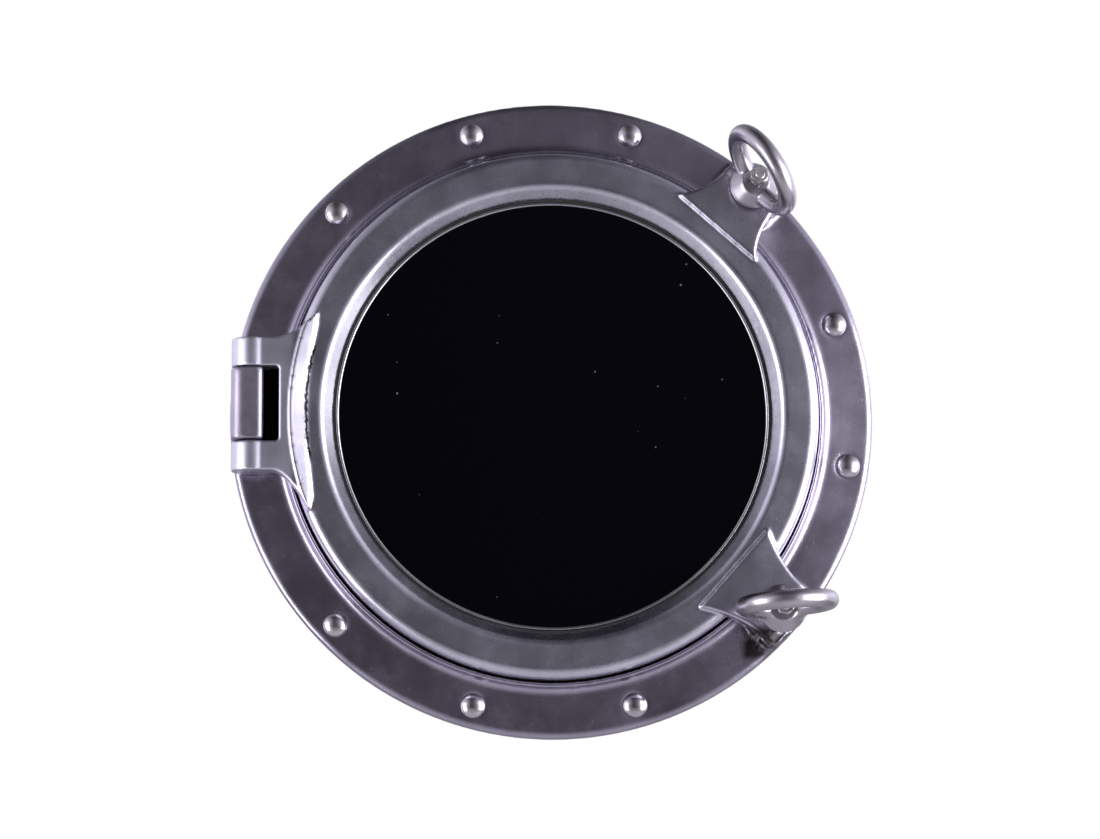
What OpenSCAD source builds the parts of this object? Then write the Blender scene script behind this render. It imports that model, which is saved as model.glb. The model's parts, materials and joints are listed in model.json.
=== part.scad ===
// Opening porthole: a flanged frame with a sleeve for the hull cut-out, a glazed door on a
// pinned hinge at the left, and two swing-bolt dogs with ring nuts at the right.
// Millimetres. The front faces -Y, +X is to the right seen from the front, and +Z is up.
// The origin is the centre of the flange's back face, which lies on the hull.
// Inside face_on() the model is drawn lying on its back: x right, y up, z out of the hull.

/* [Flange] */
// Outer diameter of the flange
flange_d = 380; // [376:1:390]
// Height of the flange's face next to the rim
rim_h = 9; // [8.8:0.1:9.2]
// Rise of the face from the rim to the collar
dish_rise = 1.6; // [1:0.1:2]
// Height of the collar round the door
collar_h = 16; // [14:0.5:16.5]
// Width of the collar's lip
collar_w = 3; // [2.6:0.1:3.4]

/* [Sleeve] */
// Outer diameter of the sleeve that goes through the hull
sleeve_d = 280; // [276:1:284]
// Clear opening through the frame
opening_d = 264; // [258:1:266]
// Length of the sleeve behind the flange
sleeve_len = 38; // [20:1:60]

/* [Flange bolts] */
// Radius of the circle that the bolts stand on
bolt_circle_r = 177; // [175:0.5:178]
// Radius of the dome heads
head_r = 7.3; // [6:0.1:7.5]
// Height of the dome heads
head_h = 4.6; // [3:0.1:6]
// Thread diameter of the bolts
stud_d = 6; // [5:0.5:6]
// Length of the bolts behind the flange
stud_len = 30; // [15:1:60]

/* [Door] */
// Outer diameter of the door ring
door_d = 313; // [311:0.5:314]
// Height of the door's face above the hull
door_face_h = 28; // [27:0.5:29]
// Radius of the rounded outer shoulder
shoulder_r = 6; // [3:0.5:8]
// Inner radius of the door's flat face
face_in_r = 135.5; // [134:0.5:136]
// Inner radius of the casting's bevel
lip_r = 129; // [128.5:0.1:129.5]
// Diameter of glass that shows
sight_d = 251; // [240:0.5:252]
// Thickness of the glass
glass_t = 4; // [4:0.5:5]

/* [Hinge] */
// Distance of the hinge axis left of the centre
hinge_x = 176.5; // [176:0.5:177.5]
// Height of the hinge axis above the hull
hinge_h = 20.5; // [20.25:0.25:21]
// Middle of the whole hinge, above the centre
hinge_z = 4.8; // [0:0.1:8]
// Radius of the knuckles
knuckle_r = 12; // [11.8:0.05:12.2]
// Diameter of the hinge pin
hinge_pin_d = 6; // [5:0.5:8]

/* [Dogs] */
// Distance of the dogs from the centre
dog_r = 176; // [175:0.5:177]
// Direction midway between the two dogs, above the horizontal
dog_mid_angle = 3.5; // [0:0.5:5]
// Angle from the middle direction to each dog
dog_half_angle = 45; // [43:0.5:47]
// Height of the swing bolts' pivots
pivot_h = 13.5; // [13.5:0.1:14]
// Outward lean of the upper dog at rest
upper_lean = 9; // [0:1:12]
// Height of the lugs' top faces
lug_top_h = 31; // [30:0.5:32]
// Thread diameter of the swing bolts
bolt_d = 5.9; // [5.5:0.1:6]
// Radius of the ring nuts' hubs
hub_r = 14.3; // [12:0.1:15]
// Radius from a ring's centre to the middle of its band
ring_r = 24.5; // [23:0.5:25]
// Half the thickness of a ring's band
band_r = 5.4; // [5:0.1:6.5]

/* [Hidden] */

$fn = 96;
eps = 0.01;

aluminium = [0.36, 0.35, 0.38];
bright_aluminium = [0.6, 0.59, 0.62];
steel = [0.55, 0.55, 0.58];
rubber = [0.05, 0.05, 0.05];
dark_glass = [0.01, 0.01, 0.015];

// Clearances: between sliding faces, round running pins, round the door and round moving bosses
face_gap = 0.3;
run_gap = 0.05;
door_gap = 1;
boss_gap = 0.5;

// How far a cut runs past the solid that it goes through
beyond = 1;

flange_r = flange_d / 2;
sleeve_r = sleeve_d / 2;
opening_r = opening_d / 2;
door_r = door_d / 2;
sight_r = sight_d / 2;
stud_r = stud_d / 2;
rim_round = 3;
edge = 1;

// Frame levels: the seat that the door's gasket meets, and the recess round it
seat_h = 8;
seat_r = 148;
recess_h = 6;
collar_in_r = door_r + door_gap;
collar_out_r = collar_in_r + collar_w;
collar_foot_h = rim_h + dish_rise;
cove_r = 3.5;

// Gasket grooves: inner radius, outer radius and height
hull_groove_in_r = 148.5;
hull_groove_out_r = 153.5;
hull_groove_h = 2.5;
door_groove_in_r = 141;
door_groove_out_r = 147;
door_groove_h = 12;

// Door levels, from the back face to the rebate's lip
door_back_h = 8.5;
retainer_back_h = 9.7;
retainer_top_h = 12;
glass_back_h = 13;
glass_front_h = glass_back_h + glass_t;
bead_base_h = glass_front_h + 0.9;
bead_top_h = glass_front_h + 2.1;
lip_back_h = glass_front_h + 1.7;
lip_front_h = lip_back_h + 1.4;
rebate_r = 131.5;
bead_width = 2.3;
inner_round = 5;

// Retaining ring and its screws
retainer_in_r = 126;
retainer_out_r = 139.5;
screw_circle_r = 135.5;
screw_count = 8;
screw_r = 1.5;
screw_head_r = 2.8;
screw_head_h = 1.2;
screw_end_h = 19.5;

// Bolt directions: two pairs above and below, one pair at the hinge, one at the dogs
bolt_angles = [74.5, 105.5, 254.5, 285.5, 136, 224, 18.3, -9.6];
head_base_h = 9.2;
neck_r = stud_r + 0.2;
neck_len = 0.5;
thread_chamfer = 0.5;

// Hinge lengths along the axis, from the lower door knuckle to the upper one
lower_knuckle = 17.4;
frame_knuckle = 42.6;
upper_knuckle = 17.2;
knuckle_gap = 0.75;
hinge_len = lower_knuckle + frame_knuckle + upper_knuckle + 2 * knuckle_gap;
hinge_low = hinge_z - hinge_len / 2;
frame_low = hinge_low + lower_knuckle + knuckle_gap;
upper_low = frame_low + frame_knuckle + knuckle_gap;
hinge_high = hinge_low + hinge_len;
foot_left = 6;
foot_right = 7;
knuckle_round = [7, 3];

// Strap: a plate over the collar that ends on the door ring in a bevel between two pointed tips
strap_bottom_h = 17.3;
strap_top_h = hinge_h + knuckle_r - 0.3;
strap_slot_x = 15.9;
strap_slot_depth = 12;
strap_neck_x = -164;
upper_tip = [150.4, 156.8];
lower_tip = [154, 202.2];
upper_flare = [-152, hinge_high + 0.5];
lower_flare = [-155, hinge_low - 1];
strap_in_r = 144.5;
bevel_top_r = 154;
bevel_slope = 0.38;
bevel_run = bevel_top_r - strap_in_r + 8;
rib_h = 1.1;

// Lug outline along its radius, from the dog's axis: inner chord, waist and outer end
lug_bottom_h = 20;
upper_chord = [-29, 30];
lower_chord = [-36.5, 30.5];
lug_waist = [-14, 17.5];
lug_corner = [6, 19];
lug_bulge = [10.5, 20];
lug_end = [11, 15];
lug_slot_w = 8;

// Boss on the frame under each lug
boss_top_h = 16.5;
boss_side = [[-16.5, 16], [-4, 19.5], [9.5, 20], [12.5, 14]];

// Dog heights: washer, nut and stop nut stand on the lug one above the other
washer_t = 1.5;
washer_r = 12;
washer_h = lug_top_h + face_gap;
hub_h = washer_h + washer_t + face_gap;
hub_len = 10.4;
ring_centre_h = lug_top_h + 6 + ring_r;
stop_nut_h = lug_top_h + 19;
stop_nut_t = 5;
stop_nut_flats = 10;
bolt_end_h = stop_nut_h + stop_nut_t + 1;
eye_r = 5.3;
eye_w = 8.4;
ear_gap = 9;
ear_t = 5;
ear_r = 6;
pivot_pin_r = 2.25;
pivot_pin_len = 2 * boss_side[1][1];
bolt_r = bolt_d / 2;

// Directions of the dogs and of their rings, turned from the outward radius
upper_dog = dog_mid_angle + dog_half_angle;
lower_dog = dog_mid_angle - dog_half_angle;
upper_ring_turn = 74.5;
lower_ring_turn = 45.5;
lower_lean = 0;

function arc_points(x, y, r, from, to, steps) =
    [for (i = [0 : steps]) let (a = from + (to - from) * i / steps) [x + r * cos(a), y + r * sin(a)]];

function bend(a, b, c, steps) =
    [for (i = [0 : steps]) let (t = i / steps)
        (1 - t) * (1 - t) * a + 2 * t * (1 - t) * b + t * t * c];

// The same outline on the other side of the x axis, in reverse order
function flip(points) = [for (i = [len(points) - 1 : -1 : 0]) [points[i][0], -points[i][1]]];

// Turns the drawing frame, which lies on its back, to face -Y
module face_on() rotate([90, 0, 0]) children();

module lathe(profile) face_on() rotate_extrude($fn = 180) polygon(profile);

// A plain ring between two radii and two heights
module band(in_r, out_r, low, high) lathe([[in_r, low], [out_r, low], [out_r, high], [in_r, high]]);

// Local frame of a dog: x outwards along the radius, y across it, z out of the hull
module at_dog(angle) face_on() rotate([0, 0, angle]) translate([dog_r, 0, 0]) children();

// The same frame, turned outwards about the swing bolt's pivot
module at_bolt(angle, lean) at_dog(angle)
    translate([0, 0, pivot_h]) rotate([0, lean, 0]) translate([0, 0, -pivot_h]) children();

module at_each(directions, r) for (a = directions) face_on() rotate([0, 0, a]) translate([r, 0, 0]) children();

// Upright cylinder on the hinge axis, drawn in the face_on frame
module hinge_rod(r, low, len) translate([-hinge_x, low, hinge_h]) rotate([-90, 0, 0]) cylinder(r = r, h = len);

// Cylinder across a dog, on its pivot axis
module cross_rod(r, len) translate([0, 0, pivot_h]) rotate([90, 0, 0]) cylinder(r = r, h = len, center = true);

// ---------------------------------------------------------------- frame

module frame_section() {
    lip_round = collar_w / 2;
    polygon(concat(
        [[opening_r, edge - sleeve_len], [opening_r, seat_h], [seat_r, seat_h], [seat_r, recess_h],
            [collar_in_r, recess_h]],
        arc_points(collar_in_r + lip_round, collar_h - lip_round, lip_round, 180, 0, 8),
        arc_points(collar_out_r + cove_r, collar_foot_h + cove_r, cove_r, 180, 270, 7),
        arc_points(flange_r - rim_round, rim_h - rim_round, rim_round, 84, 0, 7),
        [[flange_r, edge], [flange_r - edge, 0], [hull_groove_out_r, 0], [hull_groove_out_r, hull_groove_h],
            [hull_groove_in_r, hull_groove_h], [hull_groove_in_r, 0], [sleeve_r, 0],
            [sleeve_r, edge - sleeve_len], [sleeve_r - edge, -sleeve_len], [opening_r + edge, -sleeve_len]]
    ));
}

// Boss on the flange with two ears, which the swing bolt's eye turns between
module dog_boss() {
    translate([0, 0, recess_h]) linear_extrude(height = boss_top_h - recess_h)
        polygon(concat(boss_side, flip(boss_side)));
    for (side = [-1, 1]) translate([0, side * (ear_gap + ear_t) / 2, 0]) {
        cross_rod(ear_r, ear_t);
        translate([-ear_r, -ear_t / 2, recess_h]) cube([2 * ear_r, ear_t, pivot_h - recess_h]);
    }
}

// Room for the eye between the ears, open outwards for the bolt to swing
module eye_slot() {
    cross_rod(pivot_pin_r, 2 * boss_side[2][1] + 2 * beyond);
    cross_rod(eye_r + boss_gap, ear_gap);
    translate([0, -ear_gap / 2, pivot_h - eye_r - boss_gap]) cube([2 * ear_gap, ear_gap, lug_bottom_h]);
}

module bolt_hole() {
    translate([0, 0, -beyond]) cylinder(r = neck_r, h = collar_h);
    translate([0, 0, head_base_h]) cylinder(r = head_r + 2 * run_gap, h = head_h);
}

// The frame's knuckle, seen along the hinge axis: flat in front, on a foot that stands on the flange
module knuckle_section() {
    left = knuckle_round[0];
    right = knuckle_round[1];
    polygon(concat(
        arc_points(foot_right - right, knuckle_r - right, right, 0, 90, 6),
        arc_points(left - knuckle_r, knuckle_r - left, left, 90, 180, 8),
        [[-knuckle_r, -knuckle_r / 3], [-foot_left, recess_h - hinge_h], [foot_right, recess_h - hinge_h]]
    ));
}

module main_frame() color(aluminium) difference() {
    union() {
        face_on() rotate_extrude($fn = 180) frame_section();
        face_on() translate([-hinge_x, frame_low + frame_knuckle, hinge_h]) rotate([90, 0, 0])
            linear_extrude(height = frame_knuckle) knuckle_section();
        for (a = [upper_dog, lower_dog]) at_dog(a) dog_boss();
    }
    face_on() hinge_rod(hinge_pin_d / 2, hinge_low - beyond, hinge_len + 2 * beyond);
    face_on() hinge_rod(knuckle_r + boss_gap, hinge_low - beyond, lower_knuckle + knuckle_gap + beyond);
    face_on() hinge_rod(knuckle_r + boss_gap, upper_low - knuckle_gap, upper_knuckle + knuckle_gap + beyond);
    for (a = [upper_dog, lower_dog]) at_dog(a) eye_slot();
    at_each(bolt_angles, bolt_circle_r) bolt_hole();
}

module flange_bolts() color(bright_aluminium) at_each(bolt_angles, bolt_circle_r)
    rotate_extrude() polygon(concat(
        [[0, -stud_len], [stud_r - thread_chamfer, -stud_len], [stud_r, thread_chamfer - stud_len],
            [stud_r, -neck_len], [neck_r, -neck_len], [neck_r, head_base_h], [head_r, head_base_h]],
        [for (a = [15 : 15 : 90]) [head_r * cos(a), head_base_h + head_h * sin(a)]]
    ));

module hull_gasket() color(rubber) band(hull_groove_in_r, hull_groove_out_r, 0, hull_groove_h);

module hinge_pin() color(steel) face_on() hinge_rod(hinge_pin_d / 2, hinge_low, hinge_len);

module pivot_pin(angle) color(steel) at_dog(angle) cross_rod(pivot_pin_r, pivot_pin_len);

// ---------------------------------------------------------------- door

module door_section() {
    slope = atan2(door_face_h - lip_front_h, face_in_r - lip_r);
    polygon(concat(
        [[door_r - edge, door_back_h], [door_r, door_back_h + edge]],
        arc_points(door_r - shoulder_r, door_face_h - shoulder_r, shoulder_r, 0, 90, 9),
        arc_points(face_in_r + inner_round * tan(slope / 2), door_face_h - inner_round, inner_round,
            90, 90 + slope, 6),
        [[lip_r, lip_front_h], [lip_r, lip_back_h], [rebate_r, lip_back_h],
            [rebate_r, retainer_top_h], [retainer_out_r, retainer_top_h], [retainer_out_r, door_back_h],
            [door_groove_in_r, door_back_h], [door_groove_in_r, door_groove_h],
            [door_groove_out_r, door_groove_h], [door_groove_out_r, door_back_h]]
    ));
}

// Shield outline with concave sides, drawn in a dog's local frame
module lug_outline(chord) {
    side = concat(bend(chord, lug_waist, lug_corner, 8), bend(lug_corner, lug_bulge, lug_end, 4));
    polygon(concat(side, flip(side)));
}

module lug(chord) difference() {
    reach = 30;
    width = 80;
    translate([0, 0, lug_bottom_h]) linear_extrude(height = lug_top_h - lug_bottom_h) lug_outline(chord);
    translate([0, 0, lug_bottom_h - beyond]) cylinder(r = lug_slot_w / 2, h = reach);
    translate([0, -lug_slot_w / 2, lug_bottom_h - beyond]) cube([reach, lug_slot_w, reach]);
    // The ends round off about the pivot, so that the washer swings clear of them
    difference() {
        translate([0, -width / 2, lug_bottom_h + beyond]) cube([reach, width, reach]);
        cross_rod(lug_top_h - pivot_h - face_gap, width + 2 * beyond);
    }
}

function polar(r, a) = r * [cos(a), sin(a)];

// Plan of the strap: straight at the knuckles, flaring to a tip above and below
module strap_outline() {
    steps = 16;
    at = function (i) upper_tip + (lower_tip - upper_tip) * i / steps;
    inner_r_at = function (i) at(i)[0] + (strap_in_r - at(i)[0]) * pow(sin(180 * i / steps), 0.5);
    inner = [for (i = [0 : steps]) polar(inner_r_at(i), at(i)[1])];
    upper_side = bend([strap_neck_x, hinge_high], upper_flare, inner[0], 6);
    lower_side = bend(inner[steps], lower_flare, [strap_neck_x, hinge_low], 6);
    polygon(concat(
        [[-hinge_x, hinge_high]],
        upper_side,
        [for (i = [1 : steps - 1]) inner[i]],
        lower_side,
        [[-hinge_x, hinge_low]]
    ));
}

module strap() {
    difference() {
        translate([0, 0, strap_bottom_h]) linear_extrude(height = strap_top_h - strap_bottom_h) strap_outline();
        // Bevel from the plate's top down to the door's face
        rotate_extrude($fn = 180) polygon([[bevel_top_r - bevel_run, strap_top_h - bevel_slope * bevel_run],
            [bevel_top_r, strap_top_h], [bevel_top_r, 2 * strap_top_h], [bevel_top_r - bevel_run, 2 * strap_top_h]]);
        // The bevel's top edge stands a little proud of the plate
        rotate_extrude($fn = 180) polygon([[bevel_top_r + rib_h, strap_top_h - rib_h],
            [hinge_x + 2 * knuckle_r, strap_top_h - rib_h], [hinge_x + 2 * knuckle_r, 2 * strap_top_h],
            [bevel_top_r, 2 * strap_top_h], [bevel_top_r, strap_top_h]]);
    }
    hinge_rod(knuckle_r, hinge_low, lower_knuckle);
    hinge_rod(knuckle_r, upper_low, upper_knuckle);
}

screw_angles = [for (i = [0 : screw_count - 1]) (i + 0.5) * 360 / screw_count];

module door_ring() color(aluminium) difference() {
    union() {
        face_on() rotate_extrude($fn = 180) door_section();
        at_dog(upper_dog) lug(upper_chord);
        at_dog(lower_dog) lug(lower_chord);
        face_on() strap();
    }
    face_on() hinge_rod(hinge_pin_d / 2 + run_gap, hinge_low - beyond, hinge_len + 2 * beyond);
    // Gap in the strap and its barrel for the frame's knuckle
    face_on() translate([-hinge_x - 2 * knuckle_r, frame_low - knuckle_gap, strap_bottom_h - strap_slot_depth])
        cube([2 * knuckle_r + strap_slot_x, frame_knuckle + 2 * knuckle_gap, 2 * strap_top_h]);
    at_each(screw_angles, screw_circle_r)
        translate([0, 0, retainer_top_h - beyond]) cylinder(r = screw_r, h = screw_end_h - retainer_top_h + beyond);
}

module door_gasket() color(rubber)
    band(door_groove_in_r, door_groove_out_r, seat_h + face_gap, door_groove_h);

module glass_pane() color(dark_glass) face_on()
    translate([0, 0, glass_back_h]) cylinder(r = rebate_r - boss_gap, h = glass_t, $fn = 180);

module glass_bead() color(bright_aluminium) {
    round_r = bead_width / 2;
    lathe(concat(
        [[sight_r, glass_front_h], [rebate_r - 0.2, glass_front_h], [rebate_r - 0.2, bead_base_h],
            [sight_r + bead_width, bead_base_h]],
        arc_points(sight_r + round_r, bead_top_h - round_r, round_r, 0, 180, 8)
    ));
}

module glass_seal() color(rubber)
    band(sight_r + bead_width + 0.1, rebate_r, bead_base_h, lip_back_h);

module glass_gasket() color(rubber) band(retainer_in_r, rebate_r, retainer_top_h, glass_back_h);

module glass_retainer() color(aluminium) difference() {
    band(retainer_in_r, retainer_out_r - face_gap, retainer_back_h, retainer_top_h);
    at_each(screw_angles, screw_circle_r)
        translate([0, 0, retainer_back_h - beyond]) cylinder(r = screw_r, h = retainer_top_h);
}

module retainer_screws() color(steel) at_each(screw_angles, screw_circle_r) {
    translate([0, 0, retainer_back_h - screw_head_h]) cylinder(r = screw_head_r, h = screw_head_h);
    translate([0, 0, retainer_back_h - eps]) cylinder(r = screw_r, h = screw_end_h - retainer_back_h);
}

// ---------------------------------------------------------------- dogs

module swing_bolt(angle, lean) color(steel) at_bolt(angle, lean) difference() {
    union() {
        cross_rod(eye_r, eye_w);
        translate([0, 0, pivot_h]) cylinder(r = bolt_r, h = bolt_end_h - pivot_h);
    }
    cross_rod(pivot_pin_r + run_gap, eye_w + 2 * beyond);
}

module stop_nut(angle, lean) color(steel) at_bolt(angle, lean) translate([0, 0, stop_nut_h]) difference() {
    cylinder(d = stop_nut_flats / cos(30), h = stop_nut_t, $fn = 6);
    translate([0, 0, -beyond]) cylinder(r = bolt_r, h = stop_nut_t + 2 * beyond);
}

module washer(angle, lean) color(bright_aluminium) at_bolt(angle, lean) translate([0, 0, washer_h]) difference() {
    cylinder(r = washer_r, h = washer_t);
    translate([0, 0, -beyond]) cylinder(r = bolt_r + run_gap, h = washer_t + 2 * beyond);
}

module ring_nut(angle, lean, turn) color(aluminium) at_bolt(angle, lean) difference() {
    hub_top_h = hub_h + hub_len;
    union() {
        rotate_extrude() polygon([[0, hub_h], [hub_r - 0.7, hub_h], [hub_r, hub_h + 0.8],
            [hub_r - 0.3, hub_h + 2.6], [9.4, hub_top_h - 1.4], [8, hub_top_h], [0, hub_top_h]]);
        difference() {
            translate([0, 0, ring_centre_h]) rotate([0, 0, turn]) rotate([90, 0, 0])
                rotate_extrude() translate([ring_r, 0]) circle(r = band_r, $fn = 48);
            translate([-ring_r, -ring_r, 0]) cube([2 * ring_r, 2 * ring_r, hub_h + beyond]);
        }
    }
    translate([0, 0, hub_h - beyond]) cylinder(r = bolt_r + run_gap, h = hub_len + 2 * beyond);
}

main_frame();
flange_bolts();
hull_gasket();
hinge_pin();
pivot_pin(upper_dog);  // upper_pivot_pin
pivot_pin(lower_dog);  // lower_pivot_pin
door_ring();
door_gasket();
glass_pane();
glass_bead();
glass_seal();
glass_gasket();
glass_retainer();
retainer_screws();
swing_bolt(upper_dog, upper_lean);  // upper_swing_bolt
stop_nut(upper_dog, upper_lean);  // upper_stop_nut
washer(upper_dog, upper_lean);  // upper_washer
ring_nut(upper_dog, upper_lean, upper_ring_turn);  // upper_ring_nut
swing_bolt(lower_dog, lower_lean);  // lower_swing_bolt
stop_nut(lower_dog, lower_lean);  // lower_stop_nut
washer(lower_dog, lower_lean);  // lower_washer
ring_nut(lower_dog, lower_lean, lower_ring_turn);  // lower_ring_nut
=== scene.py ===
"""Looks of the opening porthole: hand-polished cast aluminium, a black glossy pane and small fasteners."""

import json
import math

import bmesh
import bpy
from mathutils import Matrix, Vector

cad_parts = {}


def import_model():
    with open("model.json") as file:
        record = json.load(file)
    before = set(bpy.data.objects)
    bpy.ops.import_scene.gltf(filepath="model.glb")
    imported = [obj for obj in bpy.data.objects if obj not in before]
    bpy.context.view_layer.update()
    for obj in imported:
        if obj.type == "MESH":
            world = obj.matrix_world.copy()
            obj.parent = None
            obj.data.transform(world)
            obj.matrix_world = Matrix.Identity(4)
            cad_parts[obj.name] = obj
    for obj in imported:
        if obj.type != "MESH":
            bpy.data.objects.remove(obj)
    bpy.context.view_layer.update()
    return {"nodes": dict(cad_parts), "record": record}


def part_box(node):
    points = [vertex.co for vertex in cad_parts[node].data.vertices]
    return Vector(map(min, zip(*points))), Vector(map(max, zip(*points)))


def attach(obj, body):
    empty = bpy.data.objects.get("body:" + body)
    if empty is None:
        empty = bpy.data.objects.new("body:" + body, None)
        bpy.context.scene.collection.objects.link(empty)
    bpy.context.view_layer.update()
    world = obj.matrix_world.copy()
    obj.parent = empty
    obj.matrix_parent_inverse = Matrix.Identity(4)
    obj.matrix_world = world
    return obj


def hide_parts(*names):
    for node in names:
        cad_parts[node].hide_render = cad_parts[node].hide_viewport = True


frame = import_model()
MM = 0.001


# ---------------------------------------------------------------- what the record says

def joint(name):
    """The record's entry for a joint."""
    return next(j for j in frame["record"]["behaviour"]["joints"] if j["name"] == name)


def body_of_node(node):
    """The body that a CAD node belongs to."""
    return next(b for b, nodes in frame["record"]["behaviour"]["bodies"].items() if node in nodes)


def slot_of_node(node):
    """The material slot of a CAD node."""
    return next(s["material_slot"] for s in frame["record"]["subparts"] if s["node"] == node)


# ---------------------------------------------------------------- node helpers

def new_material(name):
    """A node material, with its tree and its Principled shader."""
    mat = bpy.data.materials.new(name)
    mat.use_nodes = True
    tree = mat.node_tree
    return mat, tree, tree.nodes["Principled BSDF"]


def add(tree, kind, inputs=None, **settings):
    """Adds a node; each input is a value or a socket to join it to."""
    node = tree.nodes.new(kind)
    for key, value in settings.items():
        setattr(node, key, value)
    for key, value in (inputs or {}).items():
        if isinstance(value, bpy.types.NodeSocket):
            tree.links.new(value, node.inputs[key])
        else:
            node.inputs[key].default_value = value
    return node


def noise(tree, coords, scale, detail, rough, stretch=None):
    """Noise at scale, in the object's own coordinates, which stretch multiplies first if given."""
    if stretch:
        mapping = add(tree, "ShaderNodeMapping", {"Vector": coords, "Scale": stretch})
        coords = mapping.outputs["Vector"]
    inputs = {"Vector": coords, "Scale": scale, "Detail": detail, "Roughness": rough}
    return add(tree, "ShaderNodeTexNoise", inputs).outputs["Fac"]


def ramp(tree, fac, low, high, out_low=0.0, out_high=1.0):
    """Maps low..high to out_low..out_high, clamped."""
    inputs = {"Value": fac, "From Min": low, "From Max": high, "To Min": out_low, "To Max": out_high}
    return add(tree, "ShaderNodeMapRange", inputs).outputs["Result"]


def mix_colour(tree, fac, a, b):
    """Colour a where fac is 0 and colour b where it is 1; each is a socket or three numbers."""
    node = add(tree, "ShaderNodeMix", data_type="RGBA")
    tree.links.new(fac, node.inputs["Factor"])
    for socket, value in ((node.inputs[6], a), (node.inputs[7], b)):
        if isinstance(value, bpy.types.NodeSocket):
            tree.links.new(value, socket)
        else:
            socket.default_value = (*value, 1.0)
    return node.outputs[2]


def times(tree, a, b):
    """The product of two values or sockets."""
    return add(tree, "ShaderNodeMath", {0: a, 1: b}, operation="MULTIPLY").outputs["Value"]


def plus(tree, a, b):
    """The sum of two values or sockets."""
    return add(tree, "ShaderNodeMath", {0: a, 1: b}, operation="ADD").outputs["Value"]


def bump(tree, height, strength, distance, under=None, **settings):
    """The normal of a bump layer, which lies over the normal under if that is given."""
    inputs = {"Strength": strength, "Distance": distance, "Height": height}
    if under is not None:
        inputs["Normal"] = under
    return add(tree, "ShaderNodeBump", inputs, **settings).outputs["Normal"]


def inside(tree, coords, low, high, soft=0.001):
    """1 within the box from low to high and 0 outside it, in metres, with edges soft wide."""
    parts = add(tree, "ShaderNodeSeparateXYZ", {"Vector": coords}).outputs
    mask = 1.0
    for part, start, end in zip(parts, low, high):
        after_start = ramp(tree, part, start - soft, start)
        before_end = ramp(tree, part, end, end + soft, 1.0, 0.0)
        mask = times(tree, times(tree, after_start, before_end), mask)
    return mask


def arc_line(tree, coords, box, radius, half_width, soft=0.0008, end_soft=0.006):
    """1 on a ragged line at radius from the object's own y axis, within box, and 0 elsewhere."""
    mapping = add(tree, "ShaderNodeMapping", {"Vector": coords, "Scale": (1.0, 0.0, 1.0)})
    flat = mapping.outputs["Vector"]
    away = add(tree, "ShaderNodeVectorMath", {0: flat}, operation="LENGTH").outputs["Value"]
    ragged = noise(tree, coords, scale=260, detail=3, rough=0.6)
    ragged = plus(tree, away, ramp(tree, ragged, 0.3, 0.7, -soft, soft))
    low, high = radius - half_width, radius + half_width
    past_low = ramp(tree, ragged, low - soft, low)
    before_high = ramp(tree, ragged, high, high + soft, 1.0, 0.0)
    line = times(tree, past_low, before_high)
    return times(tree, line, inside(tree, coords, *box, soft=end_soft))


# ---------------------------------------------------------------- materials

def box_about(centre, low, high):
    """The low and high corners of a box, given from a centre, in metres."""
    return centre + Vector(low), centre + Vector(high)


HINGE = Vector(joint("door_hinge")["pos_m"])
STRAP_BOX = box_about(HINGE, (-0.02, -0.02, -0.05), (0.0225, 0.02, 0.05))
KNUCKLE_BOX = box_about(HINGE, (-0.02, -0.02, -0.025), (0.007, 0.01, 0.025))
# Painted shade: the deep slot between the frame's knuckle and the strap, painted near black
SLOT_SHADE_BOX = box_about(HINGE, (0.007, -0.006, -0.023), (0.017, 0.013, 0.023))
# The rough line that the casting keeps at the inner edge of the strap's bevel; its black also paints shade
# over the highlight at the bevel's foot
SEAM_AND_SHADE_BOX = box_about(HINGE, (0.02, -0.02, -0.03), (0.045, 0.02, 0.032))
SEAM_AND_SHADE_R, SEAM_AND_SHADE_HALF_WIDTH = 0.1447, 0.0005
# Patches of grime with painted shadow on the boss under the lower lug, and on the lug's own outer end,
# where they also paint shade over a highlight
LOWER_DOG = Vector(joint("lower_dog_swing")["pos_m"])
BOSS_BOX = box_about(LOWER_DOG, (-0.019, -0.002, -0.025), (0.018, 0.004, 0.0))
LUG_BOX = box_about(LOWER_DOG, (-0.018, -0.019, -0.026), (0.015, 0.0, -0.0125))

# Near black for the painted shade in the slot; black for the casting line, which also paints shade; grime
# mixed with painted shadow, and its least share in a patch
SLOT_SHADE_COLOUR = (0.006, 0.005, 0.005)
SEAM_DIRT_AND_SHADE = (0.016, 0.0135, 0.014)
GRIME_AND_SHADOW = (0.05, 0.045, 0.048)
LEAST_GRIME_AND_SHADOW = 0.45
MATT_ADDS = 0.13
# Shares of the dark colour's brightness, and how strongly they are laid on
STREAK_SHADE, STREAK_AMOUNT = 0.72, 0.22
PIT_SHADE, PIT_AMOUNT = 0.35, 0.5


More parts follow.
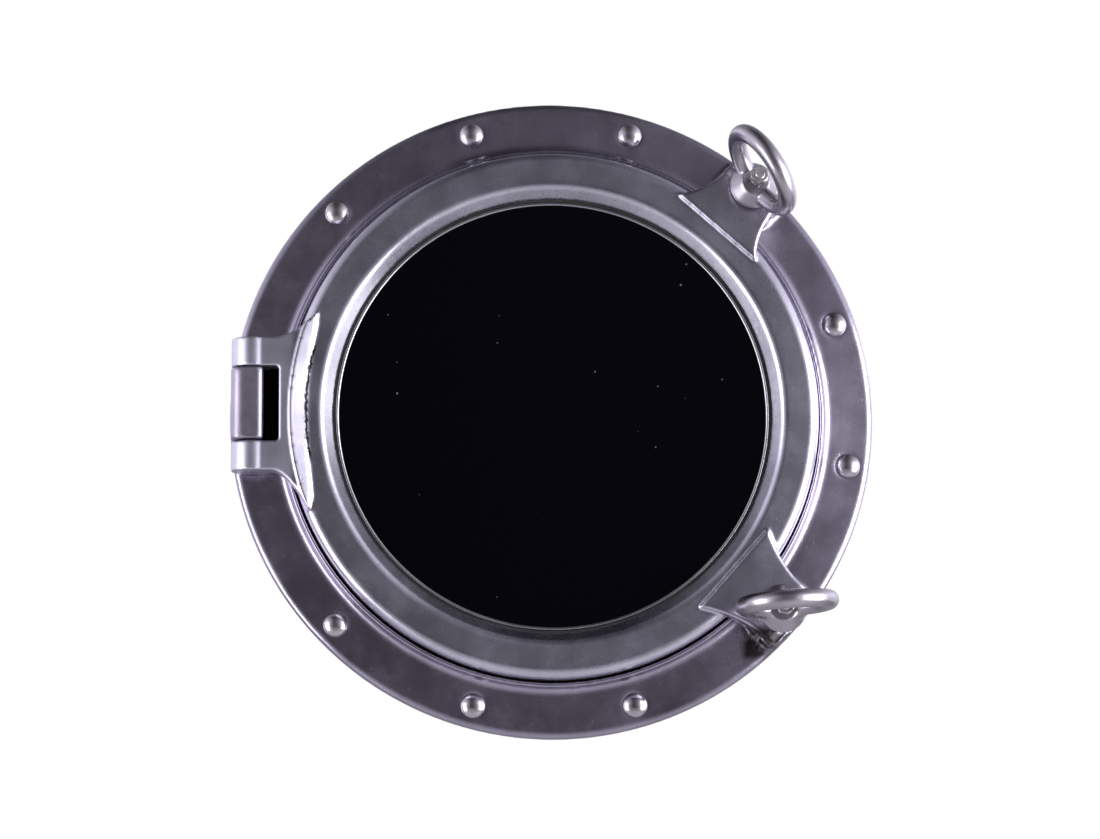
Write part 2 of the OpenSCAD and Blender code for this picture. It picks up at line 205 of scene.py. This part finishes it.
def cast_aluminium(name, light, dark, rough=(0.22, 0.31), wave=1.0,
                   matt=None, painted_shade_box=None, seam_and_shade=None, grime_and_shadow=None):
    """Hand-polished casting: slow waves, a soft mottle of tarnish, rubbing marks and a few pits.

    Each box changes what lies inside it: matt is less polished; the next is painted near black, painted
    shade of a deep recess;
    the next has a ragged black line at a set radius, a casting line that also paints shade over a
    highlight; and the last has patches of grime with painted shadow.
    """
    mat, tree, shader = new_material(name)
    coords = add(tree, "ShaderNodeTexCoord").outputs["Object"]
    mottle = noise(tree, coords, scale=34, detail=4, rough=0.5)
    cloud = noise(tree, coords, scale=11, detail=2, rough=0.5)
    tarnish = plus(tree, times(tree, mottle, 0.45), times(tree, cloud, 0.55))
    colour = mix_colour(tree, ramp(tree, tarnish, 0.3, 0.7), dark, light)
    streaks = noise(tree, coords, scale=160, detail=3, rough=0.6, stretch=(1.0, 1.0, 0.12))
    streaks = ramp(tree, streaks, 0.45, 0.8, 0.0, STREAK_AMOUNT)
    colour = mix_colour(tree, streaks, colour, tuple(STREAK_SHADE * c for c in dark))
    pits = ramp(tree, noise(tree, coords, scale=420, detail=2, rough=0.4), 0.71, 0.8)
    pit_colour = tuple(PIT_SHADE * c for c in dark)
    colour = mix_colour(tree, times(tree, pits, PIT_AMOUNT), colour, pit_colour)
    # Painted shade: the slot's box is painted near black, as shade in a deep recess
    if painted_shade_box:
        colour = mix_colour(tree, inside(tree, coords, *painted_shade_box), colour, SLOT_SHADE_COLOUR)
    # Patches of grime mixed with painted shadow under the lower lug, also laid over a highlight on the
    # lug's outer end
    if grime_and_shadow:
        patches = noise(tree, coords, scale=150, detail=4, rough=0.7)
        patches = ramp(tree, patches, 0.4, 0.52, LEAST_GRIME_AND_SHADOW, 1.0)
        patches = times(tree, patches, inside(tree, coords, *grime_and_shadow, soft=0.004))
        colour = mix_colour(tree, patches, colour, GRIME_AND_SHADOW)
    # A ragged black casting line, which also paints shade over the highlight at the foot of the strap's
    # bevel
    if seam_and_shade:
        line = arc_line(tree, coords, seam_and_shade, SEAM_AND_SHADE_R, SEAM_AND_SHADE_HALF_WIDTH)
        colour = mix_colour(tree, line, colour, SEAM_DIRT_AND_SHADE)
    shader.inputs["Metallic"].default_value = 1.0
    tree.links.new(colour, shader.inputs["Base Color"])

    rubbing = noise(tree, coords, scale=60, detail=5, rough=0.7)
    wear = plus(tree, times(tree, rubbing, 0.6), times(tree, mottle, 0.4))
    roughness = ramp(tree, wear, 0.35, 0.65, *rough)
    if matt:
        extra = times(tree, inside(tree, coords, *matt, soft=0.003), MATT_ADDS)
        roughness = plus(tree, roughness, extra)
    tree.links.new(roughness, shader.inputs["Roughness"])

    broad = noise(tree, coords, scale=11, detail=1, rough=0.4)
    slow = noise(tree, coords, scale=26, detail=1, rough=0.4)
    fine = noise(tree, coords, scale=800, detail=2, rough=0.6)
    normal = bump(tree, broad, strength=0.3 * wave, distance=0.007)
    normal = bump(tree, slow, strength=0.3 * wave, distance=0.0014, under=normal)
    normal = bump(tree, fine, strength=0.05, distance=0.0002, under=normal)
    normal = bump(tree, pits, strength=0.25, distance=0.0003, under=normal, invert=True)
    tree.links.new(normal, shader.inputs["Normal"])
    return mat


def machined_steel(name, light, dark):
    """Turned or rolled steel with fine marks and a little grime."""
    mat, tree, shader = new_material(name)
    coords = add(tree, "ShaderNodeTexCoord").outputs["Object"]
    marks = noise(tree, coords, scale=500, detail=3, rough=0.6, stretch=(1.0, 6.0, 1.0))
    grime = ramp(tree, noise(tree, coords, scale=90, detail=4, rough=0.6), 0.42, 0.66)
    shader.inputs["Metallic"].default_value = 1.0
    tree.links.new(mix_colour(tree, grime, light, dark), shader.inputs["Base Color"])
    tree.links.new(ramp(tree, marks, 0.3, 0.7, 0.22, 0.42), shader.inputs["Roughness"])
    normal = bump(tree, marks, strength=0.15, distance=0.0002)
    tree.links.new(normal, shader.inputs["Normal"])
    return mat


def black_glass(name, glass, dust_colour):
    """Opaque black pane with a glassy face, faint smears and a few specks of dust."""
    mat, tree, shader = new_material(name)
    coords = add(tree, "ShaderNodeTexCoord").outputs["Object"]
    cells = {"Vector": coords, "Scale": 85, "Randomness": 1.0}
    to_centre = add(tree, "ShaderNodeTexVoronoi", cells).outputs["Distance"]
    specks = ramp(tree, to_centre, 0.02, 0.06, 1.0, 0.0)
    chosen = ramp(tree, noise(tree, coords, scale=24, detail=1, rough=0.5), 0.5, 0.56)
    dust = times(tree, specks, chosen)
    tree.links.new(mix_colour(tree, dust, glass, dust_colour), shader.inputs["Base Color"])
    smear = noise(tree, coords, scale=14, detail=3, rough=0.6, stretch=(1.0, 1.0, 0.35))
    dulled = plus(tree, smear, times(tree, dust, 0.4))
    tree.links.new(ramp(tree, dulled, 0.4, 1.0, 0.02, 0.3), shader.inputs["Roughness"])
    shader.inputs["Specular IOR Level"].default_value = 0.12
    return mat


def black_rubber(name, light, dark):
    """Matt rubber with a fine grain and a pale bloom in patches."""
    mat, tree, shader = new_material(name)
    coords = add(tree, "ShaderNodeTexCoord").outputs["Object"]
    grain = noise(tree, coords, scale=700, detail=3, rough=0.6)
    bloom = ramp(tree, noise(tree, coords, scale=40, detail=3, rough=0.6), 0.4, 0.7)
    tree.links.new(mix_colour(tree, bloom, dark, light), shader.inputs["Base Color"])
    tree.links.new(ramp(tree, grain, 0.3, 0.7, 0.55, 0.8), shader.inputs["Roughness"])
    normal = bump(tree, grain, strength=0.25, distance=0.0002)
    tree.links.new(normal, shader.inputs["Normal"])
    return mat


# The frame carries painted shade in its slot and grime with painted shadow under the lower lug; the door's
# casting line and lug end also carry painted shade
MATERIALS = {
    "cast_aluminium": cast_aluminium(
        "cast_aluminium", (0.475, 0.44, 0.55), (0.305, 0.28, 0.355), wave=1.8,
        matt=KNUCKLE_BOX, painted_shade_box=SLOT_SHADE_BOX, grime_and_shadow=BOSS_BOX),
    "door_aluminium": cast_aluminium(
        "door_aluminium", (0.705, 0.68, 0.8), (0.48, 0.46, 0.55), wave=1.3,
        matt=STRAP_BOX, seam_and_shade=SEAM_AND_SHADE_BOX, grime_and_shadow=LUG_BOX),
    "ring_aluminium": cast_aluminium(
        "ring_aluminium", (0.53, 0.505, 0.56), (0.35, 0.325, 0.37), rough=(0.24, 0.36)),
    "polished_trim": cast_aluminium(
        "polished_trim", (0.6, 0.575, 0.62), (0.4, 0.38, 0.42), rough=(0.2, 0.3), wave=0.4),
    "steel": machined_steel("machined_steel", (0.6, 0.58, 0.6), (0.38, 0.35, 0.35)),
    "seal": black_rubber("black_rubber", (0.03, 0.029, 0.028), (0.012, 0.012, 0.012)),
    "pane": black_glass("black_glass", (0.0013, 0.001, 0.0026), (0.22, 0.21, 0.22)),
}


# ---------------------------------------------------------------- piece helpers

def show(name, mesh):
    """An object of that mesh in the scene."""
    piece = bpy.data.objects.new(name, mesh)
    bpy.context.scene.collection.objects.link(piece)
    return piece


def adopt(piece, node, material=None):
    """The piece stands for a CAD node: it rides on the node's body and takes the material of the node's
    slot, or the material given.
    """
    slot = slot_of_node(node)
    piece.data.materials.clear()
    piece.data.materials.append(MATERIALS[material or slot])
    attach(piece, body_of_node(node))
    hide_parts(node)


def apply_modifiers(piece):
    """Makes the modified shape the piece's own mesh."""
    graph = bpy.context.evaluated_depsgraph_get()
    mesh = bpy.data.meshes.new_from_object(piece.evaluated_get(graph))
    piece.modifiers.clear()
    piece.data = mesh


def casting(node, voxel, passes, most_triangles, material=None):
    """A CAD casting with rounded corners: remeshed finely, smoothed and thinned."""
    mesh = frame["nodes"][node].data.copy()
    welded = bmesh.new()
    welded.from_mesh(mesh)
    bmesh.ops.remove_doubles(welded, verts=welded.verts, dist=1e-6)
    welded.to_mesh(mesh)
    welded.free()
    piece = show(f"{node}_casting", mesh)
    remesh = piece.modifiers.new("fine", "REMESH")
    remesh.mode = "VOXEL"
    remesh.voxel_size = voxel
    smooth = piece.modifiers.new("round", "SMOOTH")
    smooth.factor = 0.5
    smooth.iterations = passes
    apply_modifiers(piece)
    triangles = 2 * len(piece.data.polygons)
    if triangles > most_triangles:
        thin = piece.modifiers.new("thin", "DECIMATE")
        thin.ratio = most_triangles / triangles
        apply_modifiers(piece)
    piece.data.polygons.foreach_set("use_smooth", [True] * len(piece.data.polygons))
    adopt(piece, node, material)


def grid_piece(name, rings, close_ends=True):
    """A skin through rings of points, all of one length.

    Its two ends are closed with flat faces, or else joined to each other.
    """
    count = len(rings[0])
    last = (len(rings) - 1) * count

    def band(start, end):
        """Faces between two rings whose first points have these numbers."""
        return [(start + j, start + (j + 1) % count, end + (j + 1) % count, end + j)
                for j in range(count)]

    faces = [face for start in range(0, last, count) for face in band(start, start + count)]
    if close_ends:
        faces += [tuple(reversed(range(count))), tuple(last + j for j in range(count))]
    else:
        faces += band(last, 0)
    mesh = bpy.data.meshes.new(name)
    mesh.from_pydata([point for ring in rings for point in ring], [], faces)
    return show(name, mesh)


def turned(name, profile, place, segments, radius_at=None, close_ends=True):
    """Turns a profile of (radius, height) in millimetres about the z axis of place.

    radius_at may change each radius by height and angle.
    """
    rings = []
    for radius, height in profile:
        ring = []
        for j in range(segments):
            angle = 2 * math.pi * j / segments
            r = radius_at(radius, height, angle) if radius_at else radius
            point = (r * MM * math.cos(angle), r * MM * math.sin(angle), height * MM)
            ring.append(place @ Vector(point))
        rings.append(ring)
    return grid_piece(name, rings, close_ends)


def joined(name, pieces, sharp_degrees=35):
    """One object of several, with normals turned outwards and corners over sharp_degrees kept."""
    mesh = bpy.data.meshes.new(name)
    whole = bmesh.new()
    for piece in pieces:
        whole.from_mesh(piece.data)
        bpy.data.objects.remove(piece)
    bmesh.ops.recalc_face_normals(whole, faces=whole.faces)
    for face in whole.faces:
        face.smooth = True
    sharp = math.radians(sharp_degrees)
    for edge in whole.edges:
        edge.smooth = len(edge.link_faces) != 2 or edge.calc_face_angle(0.0) < sharp
    whole.to_mesh(mesh)
    whole.free()
    return show(name, mesh)


THREAD_PITCH, THREAD_DEPTH = 1.0, 0.55
THREAD_END_CHAMFER = 0.6


def thread(name, place, major_r, low, high, segments=32, steps=6):
    """A rod with a helical thread cut in it and chamfered ends, in steps rows to a turn."""
    rows = int((high - low) / THREAD_PITCH * steps)
    profile = [(major_r, low + (high - low) * i / rows) for i in range(rows + 1)]

    def cut(radius, height, angle):
        """The groove is 5/8 of the pitch wide at its mouth and 1/8 at its bottom."""
        phase = (height / THREAD_PITCH - angle / (2 * math.pi)) % 1.0
        groove = THREAD_DEPTH * min(1.0, max(0.0, 1.25 - abs(4 * phase - 2)))
        from_end = min(height - low, high - height)
        return min(radius - groove, radius - THREAD_END_CHAMFER + from_end)

    return turned(name, profile, place, segments, cut)


HEXAGON_END_STEPS = (0, 0.15, 0.35, 0.6, 0.9, 1.3)
HEXAGON_END_INSET, HEXAGON_CHAMFER_SLOPE = 0.15, 0.58


def hexagon(name, place, flats, low, high, segments=96):
    """A hexagon nut whose corners are turned off at both ends."""
    levels = [low + step for step in HEXAGON_END_STEPS]
    levels += [high - step for step in reversed(HEXAGON_END_STEPS)]
    end_r = flats / 2 - HEXAGON_END_INSET

    def across(radius, height, angle):
        """The hexagon's own radius, or that of the turned end where it is smaller."""
        corner = radius / math.cos((angle + math.pi / 6) % (math.pi / 3) - math.pi / 6)
        return min(corner, end_r + min(height - low, high - height) / HEXAGON_CHAMFER_SLOPE)

    return turned(name, [(flats / 2, level) for level in levels], place, segments, across)


def bolt_frame(side):
    """A dog's bolt frame: origin at the pivot, z along the bolt, y along the pivot pin."""
    pivot = Vector(joint(f"{side}_dog_swing")["pos_m"])
    across = Vector(joint(f"{side}_dog_swing")["axis"]).normalized()
    along = Vector(joint(f"{side}_nut_spin")["axis"]).normalized()
    turn = Matrix((across.cross(along), across, along)).transposed()
    return Matrix.Translation(pivot) @ turn.to_4x4()


# ---------------------------------------------------------------- the object, in millimetres

QUARTER_TURN = Matrix.Rotation(math.pi / 2, 4, "X")
FACE_ON = QUARTER_TURN
BOLT_CIRCLE_R = 177.0
BOLT_ANGLES = (74.5, 105.5, 254.5, 285.5, 136, 224, 18.3, -9.6)
HEAD_R, HEAD_BASE_H, HEAD_H, HEAD_EDGE = 7.3, 9.2, 4.6, 0.2
HEAD_ROOT_R, HEAD_TIP_R = 0.01, 0.05
STUD_R, STUD_LEN = 3.0, 30.0
NECK_R, NECK_INTO_HEAD, NECK_PAST_FLANGE = STUD_R + 0.2, 0.4, 0.5
SWING_BOLT_R, SWING_BOLT_LEN = 2.95, 42.5
PLAIN_R, PLAIN_LOW, PLAIN_HIGH, THREADED_LOW = SWING_BOLT_R - 0.1, 4.6, 14.2, 14.0
EYE_R, EYE_HOLE_R, EYE_HALF_W = 5.3, 2.3, 4.2
EYE_CHAMFER, EYE_CHAMFER_MID = 0.6, 0.2
STOP_NUT_LOW, STOP_NUT_HIGH, STOP_NUT_FLATS = 36.5, 41.5, 10.0
BEAD_WIDTH, BEAD_CROWN_R, BEAD_STEP_DEPTH = 5.8, 1.15, 1.2


def flange_bolt(angle):
    """The pieces of a bolt with a domed head and a threaded shank behind the flange."""
    around = Matrix.Rotation(math.radians(angle), 4, "Z")
    place = FACE_ON @ around @ Matrix.Translation((BOLT_CIRCLE_R * MM, 0, 0))
    dome = [(HEAD_R * math.cos(t), HEAD_BASE_H + HEAD_H * math.sin(t))
            for t in (math.radians(a) for a in range(6, 90, 6))]
    head = [(HEAD_ROOT_R, HEAD_BASE_H),
            (HEAD_R - HEAD_EDGE, HEAD_BASE_H),
            (HEAD_R, HEAD_BASE_H + HEAD_EDGE)]
    head += dome + [(HEAD_TIP_R, HEAD_BASE_H + HEAD_H)]
    neck = [(NECK_R, HEAD_BASE_H + NECK_INTO_HEAD), (NECK_R, -NECK_PAST_FLANGE)]
    return [turned("head", head, place, segments=48),
            turned("neck", neck, place, segments=32),
            thread("shank", place, STUD_R, -STUD_LEN, 0.0, segments=24, steps=4)]


def swing_bolt(side):
    """An eye bolt whose upper part is threaded."""
    place = bolt_frame(side)
    eye_end = [(EYE_HOLE_R, EYE_HALF_W),
               (EYE_R - EYE_CHAMFER, EYE_HALF_W),
               (EYE_R - EYE_CHAMFER_MID, EYE_HALF_W - EYE_CHAMFER_MID),
               (EYE_R, EYE_HALF_W - EYE_CHAMFER)]
    eye = [(r, -h) for r, h in eye_end] + list(reversed(eye_end))
    plain = [(PLAIN_R, PLAIN_LOW), (PLAIN_R, PLAIN_HIGH)]
    return joined(f"{side}_swing_bolt_threaded", [
        turned("eye", eye, place @ QUARTER_TURN, segments=48, close_ends=False),
        turned("plain", plain, place, segments=32),
        thread("threaded", place, SWING_BOLT_R, THREADED_LOW, SWING_BOLT_LEN)])


def bead():
    """The bright rounded bead that holds the pane's edge."""
    low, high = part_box("glass_bead")
    outer = (high[0] - low[0]) / 2 / MM
    front, back = -low[1] / MM, -high[1] / MM
    inner = outer - BEAD_WIDTH
    crown = [(inner + BEAD_CROWN_R + BEAD_CROWN_R * math.cos(t),
              front - BEAD_CROWN_R + BEAD_CROWN_R * math.sin(t))
             for t in (math.radians(a) for a in range(180, -1, -15))]
    step = front - BEAD_STEP_DEPTH
    section = [(outer, back), (inner, back)] + crown
    section += [(inner + 2 * BEAD_CROWN_R, step), (outer, step)]
    ring = turned("bead", section, FACE_ON, segments=256, close_ends=False)
    return joined("glass_bead_turned", [ring])


casting("door_ring", voxel=0.8 * MM, passes=9, most_triangles=196000, material="door_aluminium")
casting("main_frame", voxel=1.3 * MM, passes=4, most_triangles=196000)
bolts = [part for angle in BOLT_ANGLES for part in flange_bolt(angle)]
adopt(joined("flange_bolts_domed", bolts), "flange_bolts")
adopt(bead(), "glass_bead")
for side in ("upper", "lower"):
    casting(f"{side}_ring_nut", voxel=0.6 * MM, passes=10, most_triangles=90000,
            material="ring_aluminium")
    adopt(swing_bolt(side), f"{side}_swing_bolt")
    nut = hexagon("nut", bolt_frame(side), STOP_NUT_FLATS, STOP_NUT_LOW, STOP_NUT_HIGH)
    adopt(joined(f"{side}_stop_nut_chamfered", [nut]), f"{side}_stop_nut")

for node_name, node in frame["nodes"].items():
    if not node.hide_render:
        slot = slot_of_node(node_name)
        node.data.materials.clear()
        node.data.materials.append(MATERIALS[slot])


# ---------------------------------------------------------------- stage, lights and camera

PANEL_DISTANCE = 1.3
ROOM_COLOUR = (0.92, 0.9, 1.0, 1.0)
FLOOR_HALF_SIZE, FLOOR_HEIGHT = 3.0, -1.0
SENSOR_MM, LENS_MM = 36.0, 117.8
CAMERA_PLACE = (-0.0792, -2.1049, -0.345)
CAMERA_YAW_PITCH_ROLL = (2.128, 9.301, -0.351)


def area_light(name, azimuth, height, size, power):
    """A soft panel at an azimuth from the object's front, positive to the right, facing it."""
    data = bpy.data.lights.new(name, "AREA")
    data.shape = "RECTANGLE"
    data.size, data.size_y = size
    data.energy = power
    light = bpy.data.objects.new(name, data)
    turn = math.radians(azimuth)
    light.location = (PANEL_DISTANCE * math.sin(turn), -PANEL_DISTANCE * math.cos(turn), height)
    light.rotation_euler = (-light.location).to_track_quat("-Z", "Y").to_euler()
    bpy.context.scene.collection.objects.link(light)


def world():
    """Pale where the camera sees it, and dark where the metal mirrors the studio in front."""
    scene_world = bpy.data.worlds.new("studio")
    scene_world.use_nodes = True
    bpy.context.scene.world = scene_world
    tree = scene_world.node_tree
    shown = tree.nodes["Background"]
    shown.inputs["Color"].default_value = (1.0, 1.0, 1.0, 1.0)
    shown.inputs["Strength"].default_value = 1.0
    direction = add(tree, "ShaderNodeTexCoord").outputs["Generated"]
    x, y, z = add(tree, "ShaderNodeSeparateXYZ", {"Vector": direction}).outputs
    behind = ramp(tree, y, 0.0, 0.5, 0.0, 0.4)
    aside = add(tree, "ShaderNodeMath", {0: x}, operation="ABSOLUTE").outputs["Value"]
    beside = ramp(tree, aside, 0.25, 0.8, 0.078, 0.95)
    rightward = ramp(tree, x, -0.05, 0.7, 0.0, 0.27)
    upward = ramp(tree, z, -0.05, 0.3, 0.78, 1.3)
    overhead = ramp(tree, z, 0.35, 0.75, 1.0, 0.5)
    by_height = times(tree, upward, overhead)
    by_side = plus(tree, plus(tree, behind, beside), rightward)
    strength = times(tree, by_side, by_height)
    room = add(tree, "ShaderNodeBackground", {"Color": ROOM_COLOUR, "Strength": strength})
    seen = add(tree, "ShaderNodeLightPath").outputs["Is Camera Ray"]
    mixed = add(tree, "ShaderNodeMixShader", {0: seen, 1: room.outputs[0], 2: shown.outputs[0]})
    tree.links.new(mixed.outputs[0], tree.nodes["World Output"].inputs["Surface"])


def floor():
    """A plain pale floor, well below the object."""
    mesh = bpy.data.meshes.new("floor")
    half = FLOOR_HALF_SIZE
    outline = ((-half, -half), (half, -half), (half, half), (-half, half))
    corners = [(x, y, FLOOR_HEIGHT) for x, y in outline]
    mesh.from_pydata(corners, [], [(0, 1, 2, 3)])
    plane = show("floor", mesh)
    mat, _, shader = new_material("pale_floor")
    shader.inputs["Base Color"].default_value = (0.62, 0.62, 0.62, 1.0)
    shader.inputs["Roughness"].default_value = 0.9
    mesh.materials.append(mat)


def camera():
    """A long lens from a little below and left of the object's front."""
    data = bpy.data.cameras.new("camera")
    data.sensor_width = SENSOR_MM
    data.lens = LENS_MM
    cam = bpy.data.objects.new("camera", data)
    yaw, pitch, roll = (math.radians(a) for a in CAMERA_YAW_PITCH_ROLL)
    level = Matrix.Rotation(-yaw, 4, "Z") @ Matrix.Rotation(math.pi / 2 + pitch, 4, "X")
    look = level @ Matrix.Rotation(roll, 4, "Z")
    cam.matrix_world = Matrix.Translation(CAMERA_PLACE) @ look
    bpy.context.scene.collection.objects.link(cam)
    bpy.context.scene.camera = cam


world()
floor()
camera()
area_light("right_panel", azimuth=62, height=-0.12, size=(1.0, 1.15), power=19)
area_light("left_panel", azimuth=-62, height=-0.3, size=(0.8, 1.15), power=10)
bpy.context.scene.view_settings.view_transform = "Standard"
